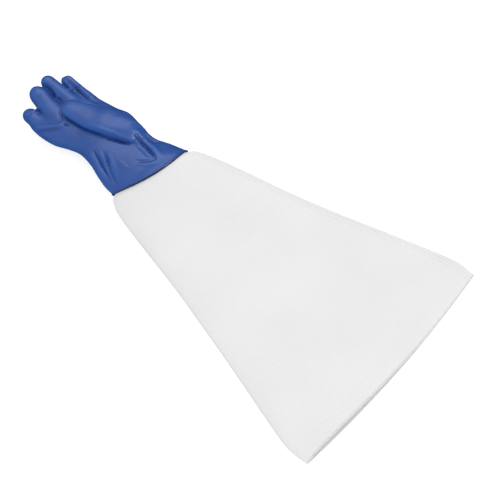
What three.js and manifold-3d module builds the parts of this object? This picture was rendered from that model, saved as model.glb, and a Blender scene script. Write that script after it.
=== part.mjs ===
// Sandblasting glove: a dipped hand glove with a flared gauntlet, joined to a long tapering cloth sleeve.
// It lies on a surface as it is put down, palm up, thumb folded over the palm. Millimetres, +Z up.
// +X runs from the fingertips to the mouth of the sleeve, +Y is the thumb side, z = 0 is the surface.
import * as THREE from 'three';
import { mergeVertices } from 'three/addons/utils/BufferGeometryUtils.js';
import Module from 'manifold-3d';

// Glove
const GLOVE_LENGTH = 247; // from the cuff's edge to the tip of the middle finger, as it lies
const PALM_WIDTH = 110;
const HAND_THICKNESS = 42;
const GLOVE_WALL = 1.8;
const RIM_WIDTH = 3.6; // rolled bead along the cuff's edge
const RIM_HEIGHT = 1.2;
const FINGER_LENGTH = 80; // middle finger, from the knuckle web to the tip
const FINGER_WIDTH = 26;
const THUMB_WIDTH = 41;
const KNUCKLE_ROUND = 9; // how far the palm rounds off between the fingers

// Sleeve
const SLEEVE_LENGTH = 452; // from the cuff's edge to the mouth
const MOUTH_WIDTH = 354;
const SLEEVE_HEIGHT = 28;
const CLOTH = 1;
const NECK_OVERLAP = 22; // how far the sleeve reaches into the cuff
const HEM_WIDTH = 22;
const SEAM_WIDTH = 8;
const SEAM_INSET = 7; // from the sleeve's side to its seam

const GAP = 0.3; // between pieces that touch

// Faceting
const TUBE_SIDES = 34;
const FINGER_SIDES = 12;
const TIP_TURNS = [30, 58, 80];
const KNUCKLE_TURNS = [30, 60];
const RIM_TURNS = [0, 30, 60, 90, 120, 150, 180];
const UNDERSIDE_FLAT = 1.06; // above 1, the middle of the underside lies flat

// A table's rows as objects, under its named columns.
const table = (columns, rows) =>
  rows.map((row) => Object.fromEntries(columns.split(' ').map((name, i) => [name, row[i]])));

// Sections of the palm and gauntlet, from the cuff's edge to the knuckles.
// along: share of GLOVE_LENGTH. skew: slant of the section. bow: how far its middle bulges to the sleeve.
// centre, width: middle and half width. bow, centre and width are shares of PALM_WIDTH.
// base, edge, top: heights of the floor, the sides and the crown, shares of HAND_THICKNESS.
// roof, floor: shape of the upper and lower half, where 0.5 is an ellipse, more is pointed, less is boxy.
// lean: how much the crown falls towards the thumb's side.
const HAND_SECTIONS = table('along skew bow centre width base edge top roof floor lean', [
  [0, 0.21, 0.15, 0, 0.6, 0, 0.22, 0.64, 0.68, 0.4, -0.2],
  [0.09, 0.17, 0.12, -0.03, 0.56, 0, 0.26, 0.7, 0.62, 0.42, -0.3],
  [0.19, 0.1, 0.07, -0.065, 0.485, 0, 0.33, 0.78, 0.57, 0.45, -0.15],
  [0.3, 0.03, 0, -0.02, 0.47, 0, 0.44, 0.86, 0.5, 0.48, 0],
  [0.41, 0, 0, 0.01, 0.475, 0, 0.48, 0.86, 0.46, 0.48, 0],
  [0.5, 0, 0, -0.035, 0.475, 0, 0.45, 0.82, 0.46, 0.46, 0],
  [0.6, 0, 0, -0.095, 0.5, 0, 0.42, 0.82, 0.44, 0.42, 0],
  [0.7, 0.05, 0, -0.12, 0.5, 0, 0.41, 0.8, 0.44, 0.42, 0],
  [0.77, 0.12, 0, -0.125, 0.485, 0.05, 0.4, 0.68, 0.46, 0.46, 0],
  [0.8, 0.15, 0, -0.125, 0.45, 0.12, 0.4, 0.6, 0.5, 0.5, 0],
]);
const PALM_STATIONS = 18;
const NECK_STATIONS = 3;

// Fingers, from the thumb's side. base: share of GLOVE_LENGTH. side: share of PALM_WIDTH. height: share of
// HAND_THICKNESS. heading: degrees towards the thumb. lift, curl: degrees at the root, and gained to the tip.
// reach: from the base to the tip, share of FINGER_LENGTH. root, tip: half widths, depth: half thickness,
// cap: length of the rounded end, shares of FINGER_WIDTH. taper: how late root falls to tip.
const FINGERS = table('base side height heading lift curl reach root tip depth cap taper', [
  [0.66, 0.285, 0.395, 1, 2, 8, 0.905, 0.44, 0.4, 0.37, 0.4, 2],
  [0.66, 0.1, 0.42, -6, 8, 16, 1.05, 0.52, 0.45, 0.4, 0.45, 2],
  [0.66, -0.225, 0.43, 2.5, 7, 15, 1.005, 0.76, 0.62, 0.45, 0.73, 1.5],
  [0.66, -0.47, 0.4, -1.5, 1, 10, 0.8, 0.54, 0.46, 0.36, 0.44, 1],
]);
const FINGER_STATIONS = 8;

// The thumb's middle line, from inside the ball of the thumb to its tip. along, side, height: shares of
// GLOVE_LENGTH, PALM_WIDTH and HAND_THICKNESS. half, depth: half its width and thickness, of THUMB_WIDTH.
const THUMB = table('along side height half depth', [
  [0.15, 0.24, 0.38, 0.26, 0.18],
  [0.25, 0.2, 0.84, 0.49, 0.25],
  [0.37, 0.11, 1, 0.575, 0.23],
  [0.5, 0.005, 1.01, 0.54, 0.2],
  [0.64, -0.075, 1.03, 0.43, 0.19],
]);
const THUMB_STATIONS = 12;

// Creases pressed into the top of the gauntlet. Their two ends as shares of GLOVE_LENGTH and PALM_WIDTH,
// width of PALM_WIDTH, depth of HAND_THICKNESS.
const CREASES = table('fromAlong fromSide toAlong toSide width depth', [
  [0.2, 0.2, 0.015, 0.14, 0.05, 0.13],
  [0.29, -0.36, 0.12, -0.48, 0.055, 0.13],
  [0.25, -0.25, 0.07, -0.42, 0.05, 0.08],
]);

// Sections of the sleeve from the cuff to the mouth. along: share of SLEEVE_LENGTH.
// flare: how far the width has grown from the cuff's to MOUTH_WIDTH. bow, centre: shares of MOUTH_WIDTH.
// edge, top: shares of SLEEVE_HEIGHT. lean: how much the crown falls towards the thumb's side.
// slip: how far the upper side is drawn back from the mouth on the other side, share of MOUTH_WIDTH.
const SLEEVE_SECTIONS = table('along skew bow centre flare edge top roof floor lean slip', [
  [0.02, 0.2, 0.05, 0, 0.07, 0.36, 0.9, 0.6, 0.35, 0, 0],
  [0.055, 0.18, 0.045, -0.004, 0.135, 0.36, 0.9, 0.52, 0.3, 0, 0],
  [0.12, 0.13, 0.03, -0.006, 0.205, 0.34, 0.86, 0.44, 0.25, 0, 0],
  [0.22, 0.09, 0, -0.007, 0.29, 0.32, 0.8, 0.4, 0.22, 0, 0],
  [0.375, 0.06, 0, -0.008, 0.415, 0.3, 0.72, 0.36, 0.2, 0, 0],
  [0.54, 0.05, 0, -0.008, 0.575, 0.28, 0.66, 0.34, 0.2, 0.05, 0],
  [0.71, 0.05, 0.01, -0.004, 0.76, 0.26, 0.6, 0.32, 0.2, 0.1, 0],
  [0.865, 0.052, 0.02, -0.002, 0.93, 0.24, 0.55, 0.32, 0.2, 0.2, 0.001],
  [0.94, 0.055, 0.022, 0, 1, 0.22, 0.52, 0.34, 0.2, 0.25, 0.002],
  [1, 0.055, 0.023, 0, 0.985, 0.2, 0.5, 0.36, 0.2, 0.3, 0.005],
]);
const SLEEVE_STATIONS = 16;
const HEM_STATIONS = 4;

const { Vector3 } = THREE;
const range = (count) => Array.from({ length: count }, (_, i) => i);
const radians = THREE.MathUtils.degToRad;

// Columns of a table at one place, on smooth curves through its rows.
function columnsAt(rows, along) {
  const last = rows.length - 1;
  let k = 0;
  while (k < last - 1 && along > rows[k + 1].along) k += 1;
  const span = rows[k + 1].along - rows[k].along;
  const t = THREE.MathUtils.clamp((along - rows[k].along) / span, 0, 1);
  const slope = (column, i) => {
    const before = rows[Math.max(i - 1, 0)];
    const after = rows[Math.min(i + 1, last)];
    return (after[column] - before[column]) / (after.along - before.along);
  };
  const result = { along };
  for (const column of Object.keys(rows[0])) {
    if (column === 'along') continue;
    const [a, b] = [rows[k][column], rows[k + 1][column]];
    const [ma, mb] = [slope(column, k) * span, slope(column, k + 1) * span];
    result[column] =
      a * (2 * t ** 3 - 3 * t ** 2 + 1) +
      ma * (t ** 3 - 2 * t ** 2 + t) +
      b * (3 * t ** 2 - 2 * t ** 3) +
      mb * (t ** 3 - t ** 2);
  }
  return result;
}

// A point of a flattened tube's section. angle 0 is the thumb's side, 90 degrees the crown.
// inset draws it inwards, as for the inner face of a wall.
function tubePoint(s, angle, inset) {
  const c = Math.cos(angle);
  const up = Math.abs(Math.sin(angle));
  const crown = (s.top - s.edge) * (1 - s.lean * c) - inset;
  const z =
    Math.sin(angle) >= 0
      ? s.edge + crown * up ** (2 * s.roof)
      : s.edge - (s.edge - s.base - inset) * Math.min(up * UNDERSIDE_FLAT, 1) ** (2 * s.floor);
  const y = c * (s.width - inset);
  const slip = (s.slip ?? 0) * Math.max(Math.sin(angle), 0) * (1 - c) ** 2;
  return new Vector3(s.x + s.skew * y + s.bow * (1 - c * c) - slip, s.centre + y, z);
}

const tubeRing = (s, inset, move = (p) => p) =>
  range(TUBE_SIDES).map((i) => move(tubePoint(s, (2 * Math.PI * i) / TUBE_SIDES, inset)));

// A closed mesh through rings of equal count. Without caps, the last ring joins the first.
function loft(rings, caps = true) {
  const count = rings[0].length;
  const points = rings.flat();
  const faces = [];
  // Each quad is split along its shorter diagonal, so that faces a wall apart stay parallel.
  const quad = (a, b, c, d) => {
    const across = points[a].distanceTo(points[c]) < points[b].distanceTo(points[d]);
    faces.push(...(across ? [a, b, c, a, c, d] : [a, b, d, b, c, d]));
  };
  const strips = caps ? rings.length - 1 : rings.length;
  for (const r of range(strips)) {
    const next = (r + 1) % rings.length;
    for (const i of range(count)) {
      const j = (i + 1) % count;
      quad(r * count + i, r * count + j, next * count + j, next * count + i);
    }
  }
  if (caps) {
    for (const [r, outwards] of [[0, false], [rings.length - 1, true]]) {
      const middle = new Vector3();
      rings[r].forEach((p) => middle.addScaledVector(p, 1 / count));
      points.push(middle);
      for (const i of range(count)) {
        const [a, b] = [r * count + i, r * count + ((i + 1) % count)];
        faces.push(...(outwards ? [a, b] : [b, a]), points.length - 1);
      }
    }
  }
  const geometry = new THREE.BufferGeometry().setFromPoints(points);
  geometry.setIndex(faces);
  return geometry;
}

const wasm = await Module();
wasm.setup();

function solidOf(geometry) {
  const merged = mergeVertices(geometry);
  const triVerts = new Uint32Array(merged.index.array);
  const vertProperties = merged.attributes.position.array;
  const solid = new wasm.Manifold(new wasm.Mesh({ numProp: 3, vertProperties, triVerts }));
  if (solid.volume() > 0) return solid;
  for (let i = 0; i < triVerts.length; i += 3) {
    [triVerts[i + 1], triVerts[i + 2]] = [triVerts[i + 2], triVerts[i + 1]];
  }
  return new wasm.Manifold(new wasm.Mesh({ numProp: 3, vertProperties, triVerts }));
}

function geometryOf(solid) {
  const { vertProperties, triVerts } = solid.getMesh();
  const geometry = new THREE.BufferGeometry();
  geometry.setAttribute('position', new THREE.BufferAttribute(vertProperties, 3));
  geometry.setIndex(new THREE.BufferAttribute(triVerts, 1));
  geometry.computeVertexNormals();
  return geometry;
}

// The palm and gauntlet's section at a share of the glove's length, in millimetres. Over the sleeve's neck
// its floor is raised by the rim's height, so that the rim lies on the surface.
function handSection(along) {
  const s = columnsAt(HAND_SECTIONS, along);
  const raised = 1 - (along * GLOVE_LENGTH - RIM_WIDTH) / (NECK_OVERLAP - RIM_WIDTH);
  return {
    x: -along * GLOVE_LENGTH,
    skew: s.skew,
    bow: s.bow * PALM_WIDTH,
    centre: s.centre * PALM_WIDTH,
    width: s.width * PALM_WIDTH,
    base: Math.max(s.base, 0) * HAND_THICKNESS + RIM_HEIGHT * THREE.MathUtils.clamp(raised, 0, 1),
    edge: s.edge * HAND_THICKNESS,
    top: s.top * HAND_THICKNESS,
    roof: s.roof,
    floor: s.floor,
    lean: s.lean,
  };
}

// Lowers a point of the hand's upper side where a crease is pressed in.
function creased(point) {
  let drop = 0;
  for (const c of CREASES) {
    const from = new THREE.Vector2(-c.fromAlong * GLOVE_LENGTH, c.fromSide * PALM_WIDTH);
    const to = new THREE.Vector2(-c.toAlong * GLOVE_LENGTH, c.toSide * PALM_WIDTH);
    const line = to.clone().sub(from);
    const offset = new THREE.Vector2(point.x, point.y).sub(from);
    const share = THREE.MathUtils.clamp(offset.dot(line) / line.lengthSq(), 0, 1);
    const away = offset.addScaledVector(line, -share).length() / (c.width * PALM_WIDTH);
    // Half as deep at its ends as in its middle.
    const faded = Math.sin(radians(30 + 120 * share));
    drop += c.depth * HAND_THICKNESS * Math.exp(-away * away) * faded;
  }
  const above = THREE.MathUtils.smoothstep(point.z / HAND_THICKNESS, 0.35, 0.6);
  return new Vector3(point.x, point.y, point.z - drop * above);
}

// Where the cuff overlaps the sleeve's neck, as shares of GLOVE_LENGTH from the cuff's edge.
const neckStep = NECK_OVERLAP / (NECK_STATIONS - 1) / GLOVE_LENGTH;
const neckStations = range(NECK_STATIONS).map((i) => neckStep * i);

// The palm and gauntlet. The hollow's own end runs out past the cuff's edge.
function palmSolid(inset) {
  const [start, end] = [neckStations.at(-1), HAND_SECTIONS.at(-1).along];
  const further = range(PALM_STATIONS).map((i) => start + ((end - start) * (i + 1)) / PALM_STATIONS);
  const rings = [...neckStations, ...further].map((a) => tubeRing(handSection(a), inset, creased));
  const knuckles = rings.at(-1);
  const height = handSection(end).edge;
  for (const turn of KNUCKLE_TURNS) {
    const [shrink, reach] = [Math.cos(radians(turn)), Math.sin(radians(turn)) * (KNUCKLE_ROUND - inset)];
    rings.push(knuckles.map((p) => new Vector3(p.x - reach, p.y, height + (p.z - height) * shrink)));
  }
  if (inset > 0) rings.unshift(rings[0].map((p) => p.clone().setX(p.x + GLOVE_WALL)));
  return solidOf(loft(rings));
}

// The rolled bead that thickens the cuff's edge.
function rimSolid() {
  const outer = RIM_TURNS.map(radians).map((a) => {
    const back = (RIM_WIDTH / 2) * (1 - Math.cos(a));
    return tubeRing(handSection(back / GLOVE_LENGTH), -RIM_HEIGHT * Math.sin(a), creased);
  });
  const inner = [RIM_WIDTH, 0].map((back) =>
    tubeRing(handSection(back / GLOVE_LENGTH), GLOVE_WALL / 2, creased));
  return solidOf(loft([...outer, ...inner], false));
}

// A finger or thumb: rings about a middle line of { at, along, side, half, depth }.
function digitSolid(line, inset) {
  const rings = [];
  for (const s of line) {
    const up = new Vector3().crossVectors(s.side, s.along).normalize();
    const at = s === line[0] ? s.at.clone().addScaledVector(s.along, inset) : s.at;
    rings.push(range(FINGER_SIDES).map((i) => {
      const a = (2 * Math.PI * i) / FINGER_SIDES;
      return at.clone()
        .addScaledVector(s.side, Math.cos(a) * (s.half - inset))
        .addScaledVector(up, Math.sin(a) * (s.depth - inset));
    }));
  }
  // The last ring closes over a quarter turn to a round tip.
  const s = line.at(-1);
  const tip = rings.at(-1);
  for (const turn of TIP_TURNS) {
    const [shrink, reach] = [Math.cos(radians(turn)), Math.sin(radians(turn))];
    const centre = s.at.clone().addScaledVector(s.along, reach * (s.round - inset));
    rings.push(tip.map((p) => centre.clone().addScaledVector(p.clone().sub(s.at), shrink)));
  }
  return solidOf(loft(rings));
}

// A finger's middle line: an arc that rises from the knuckle, its rings shrinking to the tip.
function fingerLine(f) {
  const cap = f.cap * FINGER_WIDTH;
  const length = f.reach * FINGER_LENGTH - cap;
  const at = new Vector3(-f.base * GLOVE_LENGTH, f.side * PALM_WIDTH, f.height * HAND_THICKNESS);
  const heading = radians(f.heading);
  const side = new Vector3(Math.sin(heading), Math.cos(heading), 0);
  return range(FINGER_STATIONS).map((i) => {
    const share = i / (FINGER_STATIONS - 1);
    const rise = radians(f.lift + f.curl * share);
    const along = new Vector3(-Math.cos(heading), Math.sin(heading), 0)
      .multiplyScalar(Math.cos(rise))
      .setZ(Math.sin(rise));
    if (i > 0) at.addScaledVector(along, length / (FINGER_STATIONS - 1));
    // The first quarter is drawn in, so that the root ends inside the palm.
    const drawnIn = 0.4 * (1 - Math.min(share / 0.25, 1)) ** 2;
    const width = FINGER_WIDTH * (1 - drawnIn);
    const half = THREE.MathUtils.lerp(f.root, f.tip, share ** f.taper) * width;
    return { at: at.clone(), along, side, half, depth: f.depth * width, round: cap };
  });
}

// The thumb's middle line: a smooth curve through its table.
function thumbLine() {
  const step = 0.01;
  const pointAt = (place) => {
    const r = columnsAt(THUMB, place);
    return new Vector3(-r.along * GLOVE_LENGTH, r.side * PALM_WIDTH, r.height * HAND_THICKNESS);
  };
  return range(THUMB_STATIONS).map((i) => {
    const place = THREE.MathUtils.lerp(THUMB[0].along, THUMB.at(-1).along, i / (THUMB_STATIONS - 1));
    const { half, depth } = columnsAt(THUMB, place);
    const along = pointAt(place + step).sub(pointAt(place - step)).normalize();
    const side = new Vector3(0, 0, 1).cross(along).negate().normalize();
    const [wide, thick] = [half * THUMB_WIDTH, depth * THUMB_WIDTH];
    return { at: pointAt(place), along, side, half: wide, depth: thick, round: wide };
  });
}

function gloveMesh() {
  const digits = [...FINGERS.map(fingerLine), thumbLine()];
  const whole = (inset) =>
    digits.reduce((solid, line) => solid.add(digitSolid(line, inset)), palmSolid(inset));
  const glove = whole(0).subtract(whole(GLOVE_WALL)).add(rimSolid());
  return new THREE.Mesh(geometryOf(glove), material(0x4463a8, 0.38));
}

// The sleeve's section at a share of its length, in millimetres.
function sleeveSection(along) {
  const s = columnsAt(SLEEVE_SECTIONS, along);
  return {
    x: along * SLEEVE_LENGTH,
    skew: s.skew,
    bow: s.bow * MOUTH_WIDTH,
    centre: s.centre * MOUTH_WIDTH,
    width: THREE.MathUtils.lerp(handSection(0).width, MOUTH_WIDTH / 2, s.flare),
    base: 0,
    edge: s.edge * SLEEVE_HEIGHT,
    top: s.top * SLEEVE_HEIGHT,
    roof: s.roof,
    floor: s.floor,
    lean: s.lean,
    slip: s.slip * MOUTH_WIDTH,
  };
}

const hemStart = 1 - HEM_WIDTH / SLEEVE_LENGTH;
const hemStations = range(HEM_STATIONS).map((i) => hemStart + ((1 - hemStart) * i) / (HEM_STATIONS - 1));

// Rings of the sleeve at a depth under its outer face: the neck in the cuff, then the body, whose stations
// stand closer together near the cuff.
function sleeveRings(inset) {
  const neck = neckStations.map((a) => tubeRing(handSection(a), GLOVE_WALL + GAP + inset, creased));
  const lip = neck[0].map((p) => p.clone().setX(p.x + 2 * GAP));
  const first = SLEEVE_SECTIONS[0].along;
  const shares = range(SLEEVE_STATIONS).map((i) => (i / SLEEVE_STATIONS) ** 1.3);
  const stations = shares.map((share) => THREE.MathUtils.lerp(first, hemStart, share));
  const body = [...stations, ...hemStations].map((a) => tubeRing(sleeveSection(a), inset));
  return [...neck.reverse(), lip, ...body];
}

// The seam is a flat felled strip along the thumb's side of the sleeve, one thickness of cloth proud.
function seamSolid() {
  const start = SLEEVE_SECTIONS[0].along;
  const rings = range(SLEEVE_STATIONS).map((i) => {
    const s = sleeveSection(start + ((1 - start) * i) / (SLEEVE_STATIONS - 1));
    const inwards = [0, SEAM_WIDTH / 2, SEAM_WIDTH].map((w) => SEAM_INSET + w);
    const angles = inwards.map((w) => Math.acos(1 - w / s.width));
    const proud = angles.map((a) => tubePoint(s, a, -CLOTH));
    return [...angles.map((a) => tubePoint(s, a, CLOTH / 2)), ...proud.reverse()];
  });
  return solidOf(loft(rings));
}

function sleeveMesh() {
  const tube = solidOf(loft([...sleeveRings(0), ...sleeveRings(CLOTH).reverse()], false));
  return new THREE.Mesh(geometryOf(tube.add(seamSolid())), material(0xececec, 0.85));
}

// The hem lies inside the mouth, a second thickness of cloth.
function hemMesh() {
  const layer = (inset) => hemStations.map((a) => tubeRing(sleeveSection(a), inset));
  const rings = [...layer(CLOTH + GAP), ...layer(2 * CLOTH + GAP).reverse()];
  return new THREE.Mesh(geometryOf(solidOf(loft(rings, false))), material(0xe6e6e6, 0.85));
}

function material(color, roughness) {
  return new THREE.MeshStandardMaterial({ color, roughness, metalness: 0 });
}

const pieces = { glove: gloveMesh(), sleeve: sleeveMesh(), mouth_hem: hemMesh() };
const model = new THREE.Group();
for (const [name, mesh] of Object.entries(pieces)) {
  mesh.name = name;
  model.add(mesh);
}

// The origin is the middle of the model's outline, on the surface that it lies on.
const bounds = new THREE.Box3().setFromObject(model);
const centre = bounds.getCenter(new Vector3());
model.position.set(-centre.x, -centre.y, -bounds.min.z);

export default model;
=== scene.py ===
import math

import bpy
import numpy as np
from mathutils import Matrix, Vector


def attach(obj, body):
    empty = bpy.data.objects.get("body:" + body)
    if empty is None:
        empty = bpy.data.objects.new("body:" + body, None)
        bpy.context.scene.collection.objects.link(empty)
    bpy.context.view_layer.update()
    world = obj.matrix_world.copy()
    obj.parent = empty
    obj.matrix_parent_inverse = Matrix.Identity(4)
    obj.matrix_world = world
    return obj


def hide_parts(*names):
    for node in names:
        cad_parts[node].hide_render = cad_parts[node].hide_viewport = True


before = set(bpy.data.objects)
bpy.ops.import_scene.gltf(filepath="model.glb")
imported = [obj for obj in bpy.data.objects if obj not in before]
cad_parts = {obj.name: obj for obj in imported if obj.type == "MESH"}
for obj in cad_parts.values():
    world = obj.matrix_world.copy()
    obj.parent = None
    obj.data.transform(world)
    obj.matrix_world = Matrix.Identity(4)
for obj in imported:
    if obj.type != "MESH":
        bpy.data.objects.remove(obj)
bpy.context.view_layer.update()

# Sizes, in millimetres, the same as the solids'
MM = 0.001
OFFSET = np.array([-110.11, -0.04, 0.0])  # from the middle of the cuff's edge to the frame's origin
GLOVE_LENGTH = 247
PALM_WIDTH = 110
HAND_THICKNESS = 42
GLOVE_WALL = 1.8
RIM_WIDTH = 3.6
RIM_HEIGHT = 1.2
FINGER_LENGTH = 80
FINGER_WIDTH = 26
THUMB_WIDTH = 41
KNUCKLE_ROUND = 9
SLEEVE_LENGTH = 452
MOUTH_WIDTH = 354
SLEEVE_HEIGHT = 28
CLOTH = 1.0
NECK_OVERLAP = 22
HEM_WIDTH = 22
SEAM_INSET = 7  # from the sleeve's edge on the thumb's side to the seam
GAP = 0.3
UNDERSIDE_FLAT = 1.06

# Sizes of the scene alone, in millimetres
GRID = 1.4  # of the glove's outer face
FAR = 30.0  # distances in the glove's field are cut off here
STITCH_LENGTH = 2.7
STITCH_GAP = 1.2
THREAD_RADIUS = 0.28
SEAM_START, SEAM_END = 13, SLEEVE_LENGTH - 0.5
SEWN_START, SEWN_END = 15, SLEEVE_LENGTH - 3
SEAM_LINES = (1.3, 6.7)  # the two rows of stitches, from the seam's outer edge
# The seam's cross-section: millimetres across it and above the cloth
SEAM_PROFILE = ((0, -0.5), (0.2, 0.45), (0.7, 0.8), (4, 0.7), (7.3, 0.8), (7.8, 0.45), (8, -0.5))

# Sections of the palm and gauntlet, from the cuff's edge to the knuckles, as shares of the glove's sizes
HAND_COLUMNS = "along skew bow centre width base edge top roof floor lean".split()
HAND_SECTIONS = np.array([
    [0, 0.21, 0.15, 0, 0.6, 0, 0.22, 0.64, 0.68, 0.4, -0.2],
    [0.09, 0.17, 0.12, -0.03, 0.56, 0, 0.26, 0.7, 0.62, 0.42, -0.3],
    [0.19, 0.1, 0.07, -0.065, 0.485, 0, 0.33, 0.78, 0.57, 0.45, -0.15],
    [0.3, 0.03, 0, -0.02, 0.47, 0, 0.44, 0.86, 0.5, 0.48, 0],
    [0.41, 0, 0, 0.01, 0.475, 0, 0.48, 0.86, 0.46, 0.48, 0],
    [0.5, 0, 0, -0.035, 0.475, 0, 0.45, 0.82, 0.46, 0.46, 0],
    [0.6, 0, 0, -0.095, 0.5, 0, 0.42, 0.82, 0.44, 0.42, 0],
    [0.7, 0.05, 0, -0.12, 0.5, 0, 0.41, 0.8, 0.44, 0.42, 0],
    [0.77, 0.12, 0, -0.125, 0.485, 0.05, 0.4, 0.68, 0.46, 0.46, 0],
    [0.8, 0.15, 0, -0.125, 0.45, 0.12, 0.4, 0.6, 0.5, 0.5, 0],
])
PALM_END = HAND_SECTIONS[-1, 0] * GLOVE_LENGTH

# Fingers, from the thumb's side: base, side, height, heading, lift, curl, reach, root, tip, depth, cap and
# taper. The angles heading, lift and curl are in degrees.
FINGERS = [
    (0.66, 0.285, 0.395, 1, 2, 8, 0.905, 0.44, 0.4, 0.37, 0.4, 2),
    (0.66, 0.1, 0.42, -6, 8, 16, 1.05, 0.52, 0.45, 0.4, 0.45, 2),
    (0.66, -0.225, 0.43, 2.5, 7, 15, 1.005, 0.76, 0.62, 0.45, 0.73, 1.5),
    (0.66, -0.47, 0.4, -1.5, 1, 10, 0.8, 0.54, 0.46, 0.36, 0.44, 1),
]
FINGER_STATIONS, THUMB_STATIONS = 8, 30

# Fillets in millimetres: of each finger with those before it, of their tips, and of the fingers with the palm
FINGER_FILLETS = (0, 8.0, 2.4, 5.0)
TIP_FILLET = 2.0
PALM_FILLET = 6.0
TIPS_END, TIPS_START = -228, -208  # where the fingers' fillets change into the tips'

# Exponents of the digits' cross-sections: 2 is an ellipse, and more is squarer
FINGER_SQUARE = 2.0
THUMB_SQUARE = 2.3

THUMB_COLUMNS = "along side height half depth".split()
THUMB = np.array([
    [0.15, 0.24, 0.38, 0.26, 0.18],
    [0.25, 0.2, 0.84, 0.49, 0.25],
    [0.37, 0.11, 1.0, 0.575, 0.23],
    [0.5, 0.005, 1.01, 0.54, 0.2],
    [0.64, -0.075, 1.03, 0.43, 0.19],
])

SLEEVE_COLUMNS = "along skew bow centre flare edge top roof floor lean slip".split()
SLEEVE_SECTIONS = np.array([
    [0.02, 0.2, 0.05, 0, 0.07, 0.36, 0.9, 0.6, 0.35, 0, 0],
    [0.055, 0.18, 0.045, -0.004, 0.135, 0.36, 0.9, 0.52, 0.3, 0, 0],
    [0.12, 0.13, 0.03, -0.006, 0.205, 0.34, 0.86, 0.44, 0.25, 0, 0],
    [0.22, 0.09, 0, -0.007, 0.29, 0.32, 0.8, 0.4, 0.22, 0, 0],
    [0.375, 0.06, 0, -0.008, 0.415, 0.3, 0.72, 0.36, 0.2, 0, 0],
    [0.54, 0.05, 0, -0.008, 0.575, 0.28, 0.66, 0.34, 0.2, 0.05, 0],
    [0.71, 0.05, 0.01, -0.004, 0.76, 0.26, 0.6, 0.32, 0.2, 0.1, 0],
    [0.865, 0.052, 0.02, -0.002, 0.93, 0.24, 0.55, 0.32, 0.2, 0.2, 0.001],
    [0.94, 0.055, 0.022, 0, 1, 0.22, 0.52, 0.34, 0.2, 0.25, 0.002],
    [1, 0.055, 0.023, 0, 0.985, 0.2, 0.5, 0.36, 0.2, 0.3, 0.005],
])

# Creases and folds of the glove's upper side, in millimetres from the middle of the cuff's edge: the points
# of a line, its width to the left and to the right of the way along it, and its depth. A negative depth is
# a ridge.
FOLDS = [
    # across the ball of the thumb and down to the cuff
    ([(-50, 23), (-36.6, 22), (-24, 20.5), (-10, 17.5), (-3, 15)], 1.5, 3.8, 4.2),
    ([(-44, 13.5), (-30, 11.5), (-17, 9.5), (-6, 10.5)], 2.0, 2.2, 1.5),
    ([(-41, 28.5), (-20, 28), (0, 23)], 5.0, 4.0, -2.2),
    ([(-45, 33.5), (-37, 33.5), (-27, 37.5), (-20, 45)], 2.2, 1.6, 1.8),
    ([(-44, 37.5), (-33, 39), (-25, 46)], 1.8, 1.8, -1.2),
    ([(-60, 31), (-50, 36), (-46, 45)], 5.0, 4.0, 1.8),
    ([(-20, -8), (-12, -3), (-4, 6), (1, 16)], 2.6, 2.0, 1.4),
    ([(-13, -10), (-4, -3), (5, 9)], 1.8, 2.4, -0.9),
    # along the upper and lower edges of the thumb
    ([(-172, 0), (-160, 8), (-147, 15), (-136, 20)], 5.0, 3.5, 3.0),
    ([(-80, -10), (-60, -1), (-47, 7), (-41, 12)], 1.6, 1.4, 1.7),
    ([(-113, -15), (-83, -6), (-58, 5), (-46, 13)], 2.2, 1.6, -1.2),
    # on the little finger's side of the gauntlet
    ([(-80, -38), (-63, -43.5), (-48, -49), (-31, -53.5)], 1.7, 2.8, 4.0),
    ([(-70, -33), (-55, -39), (-42, -44.5), (-33, -48)], 2.0, 1.8, -1.9),
    ([(-66, -30), (-56, -34), (-41, -44), (-26, -50), (-18, -51.5)], 1.5, 2.4, 3.0),
    ([(-56, -28), (-44, -34), (-24, -43)], 2.6, 2.4, -0.9),
    ([(-38, -25), (-28, -22.5)], 1.4, 1.4, -1.0),
    ([(-32, -27.5), (-22, -23.5)], 1.4, 1.4, -0.9),
    # across the palm at the little finger, and where it meets the thumb's tip
    ([(-190, -67), (-172, -53), (-158, -41), (-154, -32)], 2.6, 2.2, -1.3),
    ([(-186, -71), (-168, -57), (-155, -45)], 2.4, 4.5, 1.9),
    ([(-155, -33), (-147, -32)], 2.0, 1.8, 2.2),
    ([(-172, 4), (-179, -3), (-180.5, -11), (-175, -21), (-163, -29)], 1.4, 4.5, 2.4),
    # along the index finger
    ([(-230, 31.5), (-212, 29.5), (-190, 27), (-168, 26), (-154, 28.5)], 6.0, 1.2, 6.0),
    # on the middle finger
    ([(-236, -10), (-226, -5), (-216, -4), (-204, -8), (-192, -8)], 2.2, 6.0, 3.8),
    # a low shoulder along the cuff's edge
    ([(-14, -58), (-9, -33), (-1, 0), (8, 33), (16, 60)], 14.0, 8.0, -1.7),
]


def columns_at(names, rows, place):
    """Columns of a table at one or more places, on smooth curves through its rows."""
    place = np.asarray(place, float)
    last = len(rows) - 1
    each = np.arange(last + 1)
    before, after = rows[np.maximum(each - 1, 0)], rows[np.minimum(each + 1, last)]
    slope = (after - before) / (after[:, :1] - before[:, :1])
    k = np.clip(np.searchsorted(rows[:, 0], place, side="right") - 1, 0, last - 1)
    span = (rows[k + 1, 0] - rows[k, 0])[..., None]
    t = np.clip((place - rows[k, 0])[..., None] / span, 0, 1)
    curve = (
        rows[k] * (2 * t**3 - 3 * t**2 + 1)
        + slope[k] * span * (t**3 - 2 * t**2 + t)
        + rows[k + 1] * (3 * t**2 - 2 * t**3)
        + slope[k + 1] * span * (t**3 - t**2)
    )
    return {name: curve[..., i] for i, name in enumerate(names)}


def smoothstep(low, high, x):
    t = np.clip((x - low) / (high - low), 0, 1)
    return t * t * (3 - 2 * t)


def lerp(a, b, t):
    return a + (b - a) * t


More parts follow.
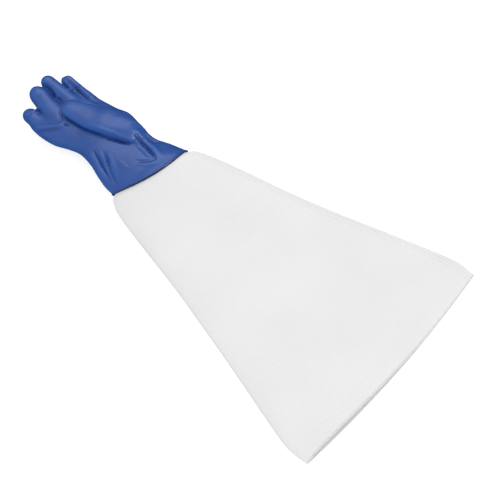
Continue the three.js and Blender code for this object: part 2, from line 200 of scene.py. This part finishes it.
def full_turn(count):
    """Even angles once around, without the last, which is the first again."""
    return np.linspace(0, 2 * math.pi, count + 1)[:-1]


def hand_section(along):
    """The palm and gauntlet's section at shares of the glove's length."""
    along = np.asarray(along, float)
    s = columns_at(HAND_COLUMNS, HAND_SECTIONS, along)
    raised = 1 - (along * GLOVE_LENGTH - RIM_WIDTH) / (NECK_OVERLAP - RIM_WIDTH)
    for name in ("bow", "centre", "width"):
        s[name] = s[name] * PALM_WIDTH
    for name in ("edge", "top"):
        s[name] = s[name] * HAND_THICKNESS
    s["base"] = np.maximum(s["base"], 0) * HAND_THICKNESS + RIM_HEIGHT * np.clip(raised, 0, 1)
    s["x"] = -along * GLOVE_LENGTH
    s["slip"] = np.zeros_like(along)
    return s


def sleeve_section(along):
    """The sleeve's section at shares of its length."""
    along = np.asarray(along, float)
    s = columns_at(SLEEVE_COLUMNS, SLEEVE_SECTIONS, along)
    for name in ("bow", "centre", "slip"):
        s[name] = s[name] * MOUTH_WIDTH
    for name in ("edge", "top"):
        s[name] = s[name] * SLEEVE_HEIGHT
    cuff = HAND_SECTIONS[0, HAND_COLUMNS.index("width")] * PALM_WIDTH
    s["width"] = cuff + (MOUTH_WIDTH / 2 - cuff) * s["flare"]
    s["base"] = np.zeros_like(along)
    s["x"] = along * SLEEVE_LENGTH
    return s


def tube_points(s, angle, inset=0.0):
    """Points on flattened tubes' sections. angle 0 is the thumb's side, a quarter turn is the crown."""
    s = {name: np.asarray(value)[..., None] for name, value in s.items()}
    c, up = np.cos(angle), np.abs(np.sin(angle))
    crown = (s["top"] - s["edge"]) * (1 - s["lean"] * c) - inset
    above = s["edge"] + crown * up ** (2 * s["roof"])
    drop = np.minimum(up * UNDERSIDE_FLAT, 1) ** (2 * s["floor"])
    below = s["edge"] - (s["edge"] - s["base"] - inset) * drop
    y = c * (s["width"] - inset)
    slip = s["slip"] * np.maximum(np.sin(angle), 0) * (1 - c) ** 2
    x = s["x"] + s["skew"] * y + s["bow"] * (1 - c * c) - slip
    z = np.where(np.sin(angle) >= 0, above, below)
    return np.stack(np.broadcast_arrays(x, s["centre"] + y, z), axis=-1)


def fold_depth(x, y):
    """How far the folds lower the glove's upper side."""
    total = np.zeros(np.broadcast(x, y).shape)
    for line, left, right, depth in FOLDS:
        line = np.array(line, float)
        steps = np.linalg.norm(np.diff(line, axis=0), axis=1)
        starts = np.concatenate([[0], np.cumsum(steps)])
        nearest = np.full(total.shape, 1e9)
        share, aside = np.zeros(total.shape), np.zeros(total.shape)
        for i, (a, b) in enumerate(zip(line[:-1], line[1:])):
            (run, rise), (u, v) = b - a, (x - a[0], y - a[1])
            t = np.clip((u * run + v * rise) / steps[i] ** 2, 0, 1)
            away = np.hypot(u - t * run, v - t * rise)
            closer = away < nearest
            share = np.where(closer, (starts[i] + t * steps[i]) / starts[-1], share)
            aside = np.where(closer, (run * v - rise * u) / steps[i], aside)
            nearest = np.minimum(away, nearest)
        faded = np.sin(math.pi * (0.12 + 0.76 * share))
        width = lerp(right, left, smoothstep(-0.8, 0.8, aside))
        total += depth * faded * np.exp(-((nearest / width) ** 2))
    return total


def fold_share(z):
    """How much of a fold's depth counts at a height: none on the glove's underside."""
    return smoothstep(0.3 * HAND_THICKNESS, 0.55 * HAND_THICKNESS, z)


def folded(points):
    """Points of the unfolded glove, lowered into its folds."""
    depth = fold_depth(points[..., 0], points[..., 1])
    z = points[..., 2].copy()
    for _ in range(4):
        z = points[..., 2] - depth * fold_share(z)
    return np.concatenate([points[..., :2], z[..., None]], axis=-1)


def finger_line(row):
    """A finger's middle line as (at, along, side, half, depth, round) at its stations."""
    base, aside, height, heading, lift, curl, reach, *sizes, taper = row
    root, tip, thick, cap = (share * FINGER_WIDTH for share in sizes)
    length = reach * FINGER_LENGTH - cap
    at = np.array([-base * GLOVE_LENGTH, aside * PALM_WIDTH, height * HAND_THICKNESS])
    heading = math.radians(heading)
    side = np.array([math.sin(heading), math.cos(heading), 0])
    line, last = [], FINGER_STATIONS - 1
    for i in range(FINGER_STATIONS):
        share = i / last
        rise = math.radians(lift + curl * share)
        flat = math.cos(rise)
        along = np.array([-math.cos(heading) * flat, math.sin(heading) * flat, math.sin(rise)])
        if i:
            at = at + along * length / last
        drawn_in = 0.4 * (1 - min(share / 0.25, 1)) ** 2
        half = lerp(root, tip, share**taper) * (1 - drawn_in)
        line.append((at, along, side, half, thick * (1 - drawn_in), cap))
    return line


def thumb_line():
    """The thumb's middle line, as finger_line gives a finger's."""

    def point(place):
        r = columns_at(THUMB_COLUMNS, THUMB, place)
        return np.array([
            -r["along"] * GLOVE_LENGTH,
            r["side"] * PALM_WIDTH,
            r["height"] * HAND_THICKNESS,
        ])

    line = []
    for place in np.linspace(THUMB[0, 0], THUMB[-1, 0], THUMB_STATIONS):
        r = columns_at(THUMB_COLUMNS, THUMB, place)
        along = point(place + 0.01) - point(place - 0.01)
        along /= np.linalg.norm(along)
        side = -np.cross([0, 0, 1], along)
        side /= np.linalg.norm(side)
        half = r["half"] * THUMB_WIDTH
        line.append((point(place), along, side, half, r["depth"] * THUMB_WIDTH, half))
    return line


def digit_distance(x, y, z, line, square):
    """Roughly the distance to a finger or thumb, and the offset to the side of its middle line."""
    best = np.full(x.shape, FAR)
    offset = np.zeros(x.shape)
    reach = 14 + max(s[3] for s in line)
    ends = np.array([s[0] for s in line])
    near = np.ones(x.shape, bool)
    for values, low, high in zip((x, y, z), ends.min(0) - reach, ends.max(0) + reach):
        near &= (values > low) & (values < high)
    p = np.stack([x[near], y[near], z[near]], axis=-1)
    found, aside = np.full(len(p), FAR), np.zeros(len(p))
    for a, b in zip(line[:-1], line[1:]):
        step = b[0] - a[0]
        t = np.clip(((p - a[0]) @ step) / (step @ step), 0, 1)
        away = p - a[0] - t[:, None] * step
        up = np.cross(a[2], a[1])
        half, depth, tip = lerp(a[3], b[3], t), lerp(a[4], b[4], t), lerp(a[5], b[5], t)
        u, v, w = (away @ a[2]) / half, (away @ up) / depth, (away @ a[1]) / tip
        each = np.abs(np.stack([u, v, w])) + 1e-6
        k = (each**square).sum(0) ** (1 / square)
        slope = (each / k) ** (square - 1) / np.stack([half, depth, tip])
        d = (k - 1) / np.sqrt((slope * slope).sum(0))
        aside = np.where(d < found, u, aside)
        found = np.minimum(d, found)
    best[near], offset[near] = found, aside
    return best, offset


def merged(a, b, k):
    """The nearer of two distances, with a fillet of about k between them."""
    h = np.clip(0.5 + 0.5 * (b - a) / k, 0, 1)
    return lerp(b, a, h) - k * h * (1 - h)


def bent(back, aside):
    """The grid's x, with the section and the share of its half width, at places back from the cuff."""
    s = hand_section(np.minimum(back, PALM_END) / GLOVE_LENGTH)
    c = (aside - s["centre"]) / s["width"]
    x = -back + s["skew"] * (aside - s["centre"]) + s["bow"] * (1 - np.minimum(c * c, 1.3))
    return x, s, c


def glove_field():
    """The distance to the glove's outer face, on a grid that bends with the sections of the palm."""
    back = np.arange(0, 262, GRID)[:, None, None]
    aside = np.arange(-76, 78, GRID)[None, :, None]
    height = np.arange(-2 * GRID, 68, GRID)[None, None, :]
    x, s, c = bent(back, aside)
    x, y, z = np.broadcast_arrays(x, aside, height)
    z = z + fold_depth(x[..., 0], y[..., 0])[..., None] * fold_share(z)

    over = np.clip((back - PALM_END) / KNUCKLE_ROUND, 0, 1)
    level = s["edge"] + (z - s["edge"]) / np.sqrt(np.maximum(1 - over**2, 0.001))
    crown = (s["top"] - s["edge"]) * (1 - s["lean"] * np.clip(c, -1, 1))
    up = np.maximum(level - s["edge"], 0) / crown
    down = np.maximum(s["edge"] - level, 0) / (s["edge"] - s["base"])
    roof = c * c + up ** (1 / s["roof"]) - 1
    floor = c * c + (down ** (0.5 / s["floor"]) / UNDERSIDE_FLAT) ** 2 - 1
    palm = np.where(level > s["edge"], roof, np.maximum(floor, down - 1))
    across, beside, upright = np.gradient(palm, GRID)
    beside = beside + across * (s["skew"] - 2 * s["bow"] * c / s["width"])
    palm = palm / np.maximum(np.sqrt(across**2 + beside**2 + upright**2), 0.01)
    beyond_sides = np.abs(c) * s["width"] - s["width"]
    beyond_knuckles = back - PALM_END - KNUCKLE_ROUND
    for beyond in (beyond_sides, z - 1.3 * s["top"], s["base"] - z, beyond_knuckles):
        palm = np.maximum(palm, beyond)
    palm = np.clip(palm, -FAR, FAR)

    fingers = None
    for row, fillet in zip(FINGERS, FINGER_FILLETS):
        d, _ = digit_distance(x, y, z, finger_line(row), FINGER_SQUARE)
        k = lerp(TIP_FILLET, fillet, smoothstep(TIPS_END, TIPS_START, x))
        fingers = d if fingers is None else merged(fingers, d, k)
    hand = merged(palm, fingers, PALM_FILLET)
    thumb, u = digit_distance(x, y, z, thumb_line(), THUMB_SQUARE)
    # The thumb's fillet is narrow on the little finger's side, and wider on the other and at the root
    rooted = smoothstep(-95, -45, x) * smoothstep(-0.3, 0.3, u) + smoothstep(-55, -35, x)
    k = 0.6 + 5.5 * smoothstep(0.1, 0.8, u) + 7 * np.minimum(rooted, 1)
    hand = merged(hand, thumb, k)
    # Slight unevenness of the upper side, which fades out at the cuff
    lumps = np.sin(x / 9.1 + 1.7) * np.sin(y / 7.3 + 0.6) + np.sin(x / 15.7 - y / 11.9)
    hand = hand + 0.22 * lumps * smoothstep(6, 16, z) * smoothstep(0, 14, back)
    grid = (back.ravel(), aside.ravel(), height.ravel())
    return hand, grid


def net(field):
    """Quads on a field's zero level, with points in cells, in grid steps."""
    cells = np.array(field.shape) - 1
    weight = np.zeros(cells.prod())
    total = np.zeros((cells.prod(), 3))
    edges = []
    for axis in range(3):
        low = np.moveaxis(field, axis, 0)[:-1]
        high = np.moveaxis(field, axis, 0)[1:]
        crossing = np.moveaxis((low < 0) != (high < 0), 0, axis)
        share = np.moveaxis(low / np.where(low == high, 1, low - high), 0, axis)
        at = np.argwhere(crossing)
        point = at.astype(float)
        point[:, axis] += share[crossing]
        one, two = (axis + 1) % 3, (axis + 2) % 3
        corners, whole = [], np.ones(len(at), bool)
        for i, j in ((1, 1), (0, 1), (0, 0), (1, 0)):
            cell = at.copy()
            cell[:, one] -= i
            cell[:, two] -= j
            valid = ((cell >= 0) & (cell < cells)).all(1)
            index = np.ravel_multi_index(np.clip(cell, 0, cells - 1).T, cells)
            weight += np.bincount(index[valid], minlength=len(weight))
            for n in range(3):
                total[:, n] += np.bincount(index[valid], point[valid, n], len(weight))
            corners.append(index)
            whole &= valid
        quads = np.stack(corners, axis=1)[whole]
        inside_first = field[tuple(at[whole].T)] < 0
        quads[~inside_first] = quads[~inside_first][:, ::-1]
        edges.append(quads)
    used = np.flatnonzero(weight)
    number = np.full(len(weight), -1)
    number[used] = np.arange(len(used))
    points = total[used] / weight[used, None]
    return points, number[np.concatenate(edges)]


def sample(fields, p):
    """Values of fields at points in grid steps."""
    top = np.array(fields[0].shape) - 2
    base = np.clip(np.floor(p).astype(int), 0, top)
    t = p - base
    out = [0.0] * len(fields)
    for i in (0, 1):
        for j in (0, 1):
            for k in (0, 1):
                w = abs(1 - i - t[:, 0]) * abs(1 - j - t[:, 1]) * abs(1 - k - t[:, 2])
                at = (base[:, 0] + i, base[:, 1] + j, base[:, 2] + k)
                for n, field in enumerate(fields):
                    out[n] = out[n] + w * field[at]
    return out


def relaxed(points, quads, field):
    """The net's points spread evenly and set on the field's zero level. The open edge stays at the cuff."""
    ends = np.concatenate([quads[:, [i, (i + 1) % 4]] for i in range(4)])
    pairs, uses = np.unique(np.sort(ends, axis=1), axis=0, return_counts=True)
    rim = np.unique(pairs[uses == 1])
    on_rim = np.zeros(len(points), bool)
    on_rim[rim] = True
    keep = np.where(on_rim[pairs[:, 0]] != on_rim[pairs[:, 1]], 0.0, 1.0)
    one_way = [np.where(on_rim[pairs[:, 0]], keep, 1.0), np.where(on_rim[pairs[:, 1]], keep, 1.0)]
    slopes = np.gradient(field)
    points = points.copy()
    points[rim, 0] = 0
    for _ in range(5):
        total, weight = np.zeros_like(points), np.zeros(len(points))
        for (a, b), w in (((0, 1), one_way[0]), ((1, 0), one_way[1])):
            weight += np.bincount(pairs[:, a], w, len(points))
            for n in range(3):
                total[:, n] += np.bincount(pairs[:, a], w * points[pairs[:, b], n], len(points))
        points = lerp(points, total / weight[:, None], 0.5)
        points[rim, 0] = 0
        for _ in range(2):
            value, gx, gy, gz = sample([field, *slopes], points)
            g = np.stack([gx, gy, gz], axis=-1)
            g[rim, 0] = 0
            points -= np.clip(value / np.maximum((g * g).sum(1), 1e-6), -1, 1)[:, None] * g
    return points


def unbent(points, grid, step):
    """Points in grid steps as points in millimetres."""
    back, aside, height = (grid[n][0] + points[:, n] * step for n in range(3))
    x, _, _ = bent(back, aside)
    return np.stack([x, aside, height], axis=-1)


def piece(name, points, faces, slot, material):
    """A piece of the scene from points in millimetres, none of them below the floor."""
    mesh = bpy.data.meshes.new(name)
    points = np.maximum(points, (-np.inf, -np.inf, 0))
    mesh.from_pydata(((points + OFFSET) * MM).tolist(), [], faces.tolist())
    mesh.validate()
    mesh.polygons.foreach_set("use_smooth", [True] * len(mesh.polygons))
    mesh.update()
    obj = bpy.data.objects.new(name, mesh)
    bpy.context.scene.collection.objects.link(obj)
    obj.data.materials.append(material)
    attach(obj, "root")
    return obj


def rings_mesh(rings, closed=False):
    """Points and quads of rings of equal count. Where closed, the last ring joins the first."""
    rows, count = rings.shape[:2]
    r = np.arange(rows if closed else rows - 1)[:, None]
    i = np.arange(count)[None, :]
    j, n = (i + 1) % count, (r + 1) % rows
    quads = np.stack(np.broadcast_arrays(r * count + i, r * count + j, n * count + j, n * count + i), -1)
    return rings.reshape(-1, 3), quads.reshape(-1, 4)


def add_float_layer(obj, name, values):
    layer = obj.data.attributes.new(name, "FLOAT", "POINT")
    layer.data.foreach_set("value", np.asarray(values, dtype=np.float32))


# Materials
BAND_SCALE = 1 / 0.0011 / 20  # of the cloth's wave textures, whose bands are then 6.9 mm apart
SURROUND = 0.78  # brightness of the floor's own glow and of the surround


def node_material(name):
    """A new material with a principled shader, and its nodes, links and shader."""
    material = bpy.data.materials.new(name)
    material.use_nodes = True
    nodes, links = material.node_tree.nodes, material.node_tree.links
    nodes.clear()
    shader = nodes.new("ShaderNodeBsdfPrincipled")
    output = nodes.new("ShaderNodeOutputMaterial")
    links.new(shader.outputs["BSDF"], output.inputs["Surface"])
    return material, nodes, links, shader


def noise(nodes, links, coordinates, scale, detail, stretch=None):
    texture = nodes.new("ShaderNodeTexNoise")
    texture.inputs["Scale"].default_value = scale
    texture.inputs["Detail"].default_value = detail
    source = coordinates
    if stretch:
        mapping = nodes.new("ShaderNodeMapping")
        mapping.inputs["Scale"].default_value = stretch
        links.new(coordinates, mapping.inputs["Vector"])
        source = mapping.outputs["Vector"]
    links.new(source, texture.inputs["Vector"])
    return texture.outputs["Fac"]


def math_node(nodes, links, operation, a, b):
    node = nodes.new("ShaderNodeMath")
    node.operation = operation
    for socket, value in zip(node.inputs, (a, b)):
        if isinstance(value, (int, float)):
            socket.default_value = value
        else:
            links.new(value, socket)
    return node.outputs[0]


def greys(*stops):
    return [(place, (value, value, value)) for place, value in stops]


def ramp(nodes, links, fac, stops):
    node = nodes.new("ShaderNodeValToRGB")
    elements = node.color_ramp.elements
    while len(elements) < len(stops):
        elements.new(0.5)
    for element, (place, colour) in zip(elements, stops):
        element.position = place
        element.color = (*colour, 1)
    links.new(fac, node.inputs["Fac"])
    return node.outputs["Color"]


def bump(nodes, links, height, distance, normal=None):
    node = nodes.new("ShaderNodeBump")
    node.inputs["Strength"].default_value = 1
    node.inputs["Distance"].default_value = distance
    links.new(height, node.inputs["Height"])
    if normal:
        links.new(normal, node.inputs["Normal"])
    return node.outputs["Normal"]


def coated_material():
    """Blue dipped coating: slightly uneven colour, with painted shade darkening it in valleys and creases and
    painted light making it paler on ridges.
    """
    material, nodes, links, shader = node_material("blue_coating")
    at = nodes.new("ShaderNodeTexCoord").outputs["Object"]
    wide = noise(nodes, links, at, 28, 3)
    # The ridge attribute paints shade and light: low values in valleys and creases give the near-black and
    # dark blues of painted shade, and high values on ridges give the paler blue of painted light.
    ridge = nodes.new("ShaderNodeAttribute")
    ridge.attribute_name = "ridge"
    uneven = math_node(nodes, links, "MULTIPLY", wide, 0.35)
    mixed = math_node(nodes, links, "ADD", ridge.outputs["Fac"], uneven)
    colour = ramp(nodes, links, mixed, [
        (0.0, (0.002, 0.008, 0.05)),
        (0.22, (0.004, 0.024, 0.16)),
        (0.6, (0.014, 0.06, 0.265)),
        (0.95, (0.024, 0.092, 0.35)),
    ])
    links.new(colour, shader.inputs["Base Color"])
    rough = math_node(nodes, links, "MULTIPLY", noise(nodes, links, at, 60, 4), 0.14)
    links.new(math_node(nodes, links, "ADD", rough, 0.21), shader.inputs["Roughness"])
    shader.inputs["Specular IOR Level"].default_value = 0.45
    peel = bump(nodes, links, noise(nodes, links, at, 150, 3), 0.00014)
    fine = bump(nodes, links, noise(nodes, links, at, 900, 2), 0.00002, peel)
    links.new(fine, shader.inputs["Normal"])
    return material


def cloth_material(name, colour):
    """White sleeve cloth: faint crossed bands 6.9 mm apart, much wider than a weave, slubs and soft waves."""
    material, nodes, links, shader = node_material(name)
    at = nodes.new("ShaderNodeTexCoord").outputs["Object"]
    bands = []
    for direction in ("X", "Y"):
        wave = nodes.new("ShaderNodeTexWave")
        wave.bands_direction = direction
        wave.inputs["Scale"].default_value = BAND_SCALE
        wave.inputs["Distortion"].default_value = 0.4
        wave.inputs["Detail"].default_value = 1
        links.new(at, wave.inputs["Vector"])
        bands.append(wave.outputs["Fac"])
    crossed = math_node(nodes, links, "MAXIMUM", *bands)
    slub = noise(nodes, links, at, 90, 3, (1, 6, 1))
    wide = noise(nodes, links, at, 9, 2)
    slight = math_node(nodes, links, "MULTIPLY", slub, 0.5)
    mixed = math_node(nodes, links, "ADD", slight, wide)
    pale = [min(v * 1.03, 1) for v in colour]
    dark = [v * 0.96 for v in colour]
    links.new(ramp(nodes, links, mixed, [(0.4, dark), (1.0, pale)]), shader.inputs["Base Color"])
    shader.inputs["Roughness"].default_value = 0.72
    shader.inputs["Specular IOR Level"].default_value = 0.3
    shader.inputs["Sheen Weight"].default_value = 0.15
    shader.inputs["Sheen Roughness"].default_value = 0.5
    ripple = bump(nodes, links, noise(nodes, links, at, 22, 2), 0.0009)
    links.new(bump(nodes, links, crossed, 0.00008, ripple), shader.inputs["Normal"])
    return material


def thread_material():
    """White thread, slightly mottled."""
    material, nodes, links, shader = node_material("white_thread")
    at = nodes.new("ShaderNodeTexCoord").outputs["Object"]
    strands = noise(nodes, links, at, 2600, 2)
    colour = ramp(nodes, links, strands, greys((0.3, 0.66), (0.7, 0.84)))
    links.new(colour, shader.inputs["Base Color"])
    shader.inputs["Roughness"].default_value = 0.55
    links.new(bump(nodes, links, strands, 0.00006), shader.inputs["Normal"])
    return material


def floor_material():
    """A pale floor with a glow of its own, since the photo has no shadow."""
    material, nodes, links, shader = node_material("pale_floor")
    at = nodes.new("ShaderNodeTexCoord").outputs["Object"]
    tone = noise(nodes, links, at, 3, 2)
    colour = ramp(nodes, links, tone, greys((0.3, 0.33), (0.7, 0.35)))
    links.new(colour, shader.inputs["Base Color"])
    shader.inputs["Roughness"].default_value = 0.9
    shader.inputs["Specular IOR Level"].default_value = 0.2
    shader.inputs["Emission Color"].default_value = (1, 1, 1, 1)
    shader.inputs["Emission Strength"].default_value = SURROUND
    return material


coating = coated_material()
sleeve_cloth = cloth_material("sleeve_cloth", (0.74, 0.74, 0.74))
hem_cloth = cloth_material("hem_cloth", (0.72, 0.72, 0.72))
thread = thread_material()

def face_of(field, grid, step):
    """The points and quads of a field's zero level."""
    points, quads = net(field)
    return unbent(relaxed(points, quads, field), grid, step), quads


def relief_shade_values(points, quads):
    """How far each point stands above its neighbourhood, from 0 in a valley to 1 on a ridge, used as painted
    shade in the valleys and painted light on the ridges of the coating's colour.
    """
    ends = np.concatenate([quads[:, [i, (i + 1) % 4]] for i in range(4)])
    ends = np.concatenate([ends, ends[:, ::-1]])
    count = np.bincount(ends[:, 0], minlength=len(points))[:, None]

    def average(values):
        ahead = values[ends[:, 1]]
        sums = [np.bincount(ends[:, 0], column, len(points)) for column in ahead.T]
        return np.stack(sums, axis=-1) / count

    corners = points[quads]
    normal = np.cross(corners[:, 2] - corners[:, 0], corners[:, 3] - corners[:, 1])
    normals = np.zeros_like(points)
    for i in range(4):
        for n in range(3):
            normals[:, n] += np.bincount(quads[:, i], normal[:, n], len(points))
    normals /= np.maximum(np.linalg.norm(normals, axis=1, keepdims=True), 1e-9)
    spread = points
    for _ in range(5):
        spread = average(spread)
    raised = ((points - spread) * normals).sum(1)[:, None]
    for _ in range(3):
        raised = average(raised)
    return np.clip(0.5 + raised[:, 0] * 0.9, 0, 1)


# Glove: its outer face, and its inner face one wall below, on a coarser grid
field, grid = glove_field()
outer, quads = face_of(field, grid, GRID)
inner, inner_quads = face_of(field[::2, ::2, ::2] + GLOVE_WALL, grid, 2 * GRID)
quads = quads[:, ::-1]
glove = piece("glove_coating", outer, quads, "glove_coating", coating)
# Painted shade and light: the glove's coating is coloured darker in its valleys and creases and paler on its
# ridges.
add_float_layer(glove, "ridge", relief_shade_values(outer, quads))
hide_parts("glove")
lining = piece("glove_inside", inner, inner_quads, "glove_coating", coating)
add_float_layer(lining, "ridge", np.full(len(inner), 0.45))

# The rolled bead along the cuff's edge
around = full_turn(420)


def cuff_ring(back, inset):
    return folded(tube_points(hand_section(back / GLOVE_LENGTH), around, inset))


# Its round outside, then its cut end and inside as (place back from the edge, inset)
RIM_INSIDE = ((-0.3, 0.5), (-0.35, 1.2), (0, GLOVE_WALL), (RIM_WIDTH, GLOVE_WALL), (RIM_WIDTH, 0.5))
CUT_END = slice(6, 12)
bead = []
for turn in np.linspace(0, math.pi, 9):
    back = RIM_WIDTH / 2 * (1 + math.cos(turn))
    bead.append(cuff_ring(back, -RIM_HEIGHT * math.sin(turn)))
for back, inset in RIM_INSIDE:
    ring = cuff_ring(max(back, 0), inset)
    ring[:, 0] -= min(back, 0)
    bead.append(ring)
rim = piece("cuff_rim", *rings_mesh(np.array(bead), True), "glove_coating", coating)
# The bead's ridge values: a mid blue on most of its round outside, and painted shade, near-black, from its
# outer flank over its cut end.
painted_rim_shade = np.full((len(bead), len(around)), 0.4)
painted_rim_shade[CUT_END] = -0.4  # painted shade: near-black, as the shadow line under the cuff's edge
add_float_layer(rim, "ridge", painted_rim_shade.ravel())


# Sleeve
def sleeve_rings(places, inset, turns):
    """Rings at places in millimetres from the cuff's edge, negative inside the cuff."""
    first = SLEEVE_SECTIONS[0, 0] * SLEEVE_LENGTH
    rings = []
    for place in places:
        cuff = hand_section(max(-place, 0) / GLOVE_LENGTH)
        neck = folded(tube_points(cuff, turns, GLOVE_WALL + GAP + inset))
        body = tube_points(sleeve_section(max(place, first) / SLEEVE_LENGTH), turns, inset)
        ring = lerp(neck, body, smoothstep(0, first, place))
        if 0 < place < first:
            ring[:, 0] = lerp(neck[:, 0], body[:, 0], place / first)
        rings.append(ring)
    rings = np.array(rings)
    x, y, z = rings[..., 0], rings[..., 1], rings[..., 2]
    fade = smoothstep(10, 70, x) * smoothstep(0, 60, SLEEVE_LENGTH - x)
    above = smoothstep(0.35, 0.7, z / SLEEVE_HEIGHT)
    wave = np.sin(x / 31 + y / 47 + 0.8) + 0.7 * np.sin(x / 57 - y / 29 + 2.1)
    wave += 0.5 * np.sin(y / 17 + x / 90)
    rings[..., 2] += 0.45 * wave * fade * above
    return rings


turns = full_turn(252)
places = np.concatenate([
    np.linspace(-NECK_OVERLAP, 0, 8),
    np.linspace(1.2, 12, 9),
    np.linspace(15, SLEEVE_LENGTH, 128),
])
shell = np.concatenate([sleeve_rings(places, 0, turns), sleeve_rings(places, CLOTH, turns)[::-1]])
sleeve = piece("sleeve_shell", *rings_mesh(shell, True), "sleeve_cloth", sleeve_cloth)
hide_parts("sleeve")

# Hem: the cloth turned in at the mouth, its folded edge round
hem_turns = full_turn(360)
hem_places = np.linspace(SLEEVE_LENGTH - HEM_WIDTH, SLEEVE_LENGTH, 9)
layers = [sleeve_rings(hem_places, 2 * CLOTH + GAP, hem_turns)]
fold = CLOTH + GAP / 2
for turn in np.linspace(0, math.pi, 7)[1:]:
    ring = sleeve_rings([SLEEVE_LENGTH], fold * (1 + math.cos(turn)), hem_turns)
    ring[..., 0] += 0.1 + fold * math.sin(turn)
    layers.append(ring)
layers.append(sleeve_rings(hem_places[::-1], CLOTH + GAP, hem_turns))
hem = piece("hem_band", *rings_mesh(np.concatenate(layers), True), "hem_cloth", hem_cloth)
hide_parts("mouth_hem")


# The felled seam along the thumb's side
def seam_point(place, across, rise):
    """A point of the seam, across millimetres from its outer edge and rise above the cloth."""
    width = float(sleeve_section(place / SLEEVE_LENGTH)["width"])
    angle = math.acos(1 - (SEAM_INSET + across) / width)
    return sleeve_rings([place], -rise, np.array([angle]))[0, 0]


seam_rows = []
for place in np.linspace(SEAM_START, SEAM_END, 170):
    seam_rows.append([seam_point(place, across, rise) for across, rise in SEAM_PROFILE])
seam = piece("side_seam", *rings_mesh(np.array(seam_rows)), "sleeve_cloth", sleeve_cloth)


def stitches(name, path, slot):
    """Short thread stitches along a path, each narrower at its ends."""
    path = np.array(path)
    steps = np.linalg.norm(np.diff(path, axis=0), axis=1)
    run = np.concatenate([[0], np.cumsum(steps)])
    points, faces = [], []
    sides = 6
    shape = ((0, 0.25), (0.12, 0.8), (0.5, 1), (0.88, 0.8), (1, 0.25))

    def on_path(distance):
        return np.array([np.interp(distance, run, path[:, n]) for n in range(3)])

    for start in np.arange(0, run[-1] - STITCH_LENGTH, STITCH_LENGTH + STITCH_GAP):
        base = len(points)
        for share, swell in shape:
            at = on_path(start + share * STITCH_LENGTH)
            along = on_path(start + share * STITCH_LENGTH + 0.5) - at
            along /= max(np.linalg.norm(along), 1e-9)
            side = np.cross(along, [0, 0, 1])
            side /= max(np.linalg.norm(side), 1e-9)
            up = np.cross(side, along)
            sink = -0.2 * (1 - swell)
            for a in full_turn(sides):
                outward = side * math.cos(a) + up * math.sin(a)
                points.append(at + up * sink + THREAD_RADIUS * swell * outward)
        for r in range(len(shape) - 1):
            near, far = base + r * sides, base + (r + 1) * sides
            for k in range(sides):
                m = (k + 1) % sides
                faces.append([near + k, near + m, far + m, far + k])
    return piece(name, np.array(points), np.array(faces), slot, thread)


for name, across in zip(("seam_stitches_outer", "seam_stitches_inner"), SEAM_LINES):
    path = [seam_point(place, across, 0.85) for place in np.linspace(SEWN_START, SEWN_END, 200)]
    stitches(name, path, "sleeve_cloth")
hem_line = sleeve_rings([SLEEVE_LENGTH - HEM_WIDTH + 3], -0.05, np.linspace(0, 2 * math.pi, 721))[0]
stitches("hem_stitches", hem_line, "hem_cloth")

# Floor, light and camera
bpy.ops.mesh.primitive_plane_add(size=8)
floor = bpy.context.object
floor.name = "floor"
floor.data.materials.append(floor_material())
floor.visible_glossy = False


def studio_world():
    """An even pale surround, which reflections see fade to dark below."""
    world = bpy.data.worlds.new("studio")
    world.use_nodes = True
    nodes, links = world.node_tree.nodes, world.node_tree.links
    surround = nodes["Background"]
    surround.inputs["Color"].default_value = (1, 1, 1, 1)
    surround.inputs["Strength"].default_value = SURROUND
    faded = nodes.new("ShaderNodeBackground")
    split = nodes.new("ShaderNodeSeparateXYZ")
    links.new(nodes.new("ShaderNodeTexCoord").outputs["Generated"], split.inputs[0])
    fade = [(0.0, (0.02, 0.02, 0.03)), (0.35, (0.3, 0.3, 0.32)), (0.8, (1.1, 1.1, 1.1))]
    links.new(ramp(nodes, links, split.outputs["Z"], fade), faded.inputs["Color"])
    faded.inputs["Strength"].default_value = SURROUND
    either = nodes.new("ShaderNodeMixShader")
    links.new(nodes.new("ShaderNodeLightPath").outputs["Is Glossy Ray"], either.inputs[0])
    links.new(surround.outputs[0], either.inputs[1])
    links.new(faded.outputs[0], either.inputs[2])
    links.new(either.outputs[0], nodes["World Output"].inputs["Surface"])
    return world


bpy.context.scene.world = studio_world()


def lamp(name, kind, place, aim, power):
    """A lamp at a place in metres, aimed at another, with its power in watts."""
    light = bpy.data.lights.new(name, kind)
    light.energy = power
    obj = bpy.data.objects.new(name, light)
    bpy.context.scene.collection.objects.link(obj)
    obj.location = place
    obj.rotation_euler = (Vector(aim) - Vector(place)).to_track_quat("-Z", "Y").to_euler()
    return obj


key = lamp("key", "AREA", (-0.6, 0.7, 1.6), (0, 0, 0), 10)
key.data.shape = "RECTANGLE"
key.data.size, key.data.size_y = 1.7, 1.3
fill = lamp("fill", "AREA", (1.7, -0.4, 1.4), (0, 0, 0), 12)
fill.data.size = 1.5
fill.visible_glossy = False
# A small lamp whose gloss shows on the folds at the wrist alone
spark = lamp("spark", "SPOT", (0.8, 0.65, 1.05), (-0.14, 0.02, 0.03), 42)
spark.data.spot_size = math.radians(6)
spark.data.spot_blend = 0.6
spark.data.shadow_soft_size = 0.09
spark.visible_diffuse = False

camera = bpy.data.objects.new("camera", bpy.data.cameras.new("camera"))
bpy.context.scene.collection.objects.link(camera)
camera.data.lens = 43.2
camera.data.sensor_width = 36
camera.data.clip_end = 50
camera.location = (np.array([464.05, -304.28, 762.75]) + OFFSET) * MM
turn, pitch = math.radians(41), math.radians(62)
look = Vector((-math.sin(turn) * math.cos(pitch), math.cos(turn) * math.cos(pitch), -math.sin(pitch)))
camera.rotation_euler = look.to_track_quat("-Z", "Y").to_euler()
bpy.context.scene.camera = camera
bpy.context.scene.view_settings.view_transform = "Standard"
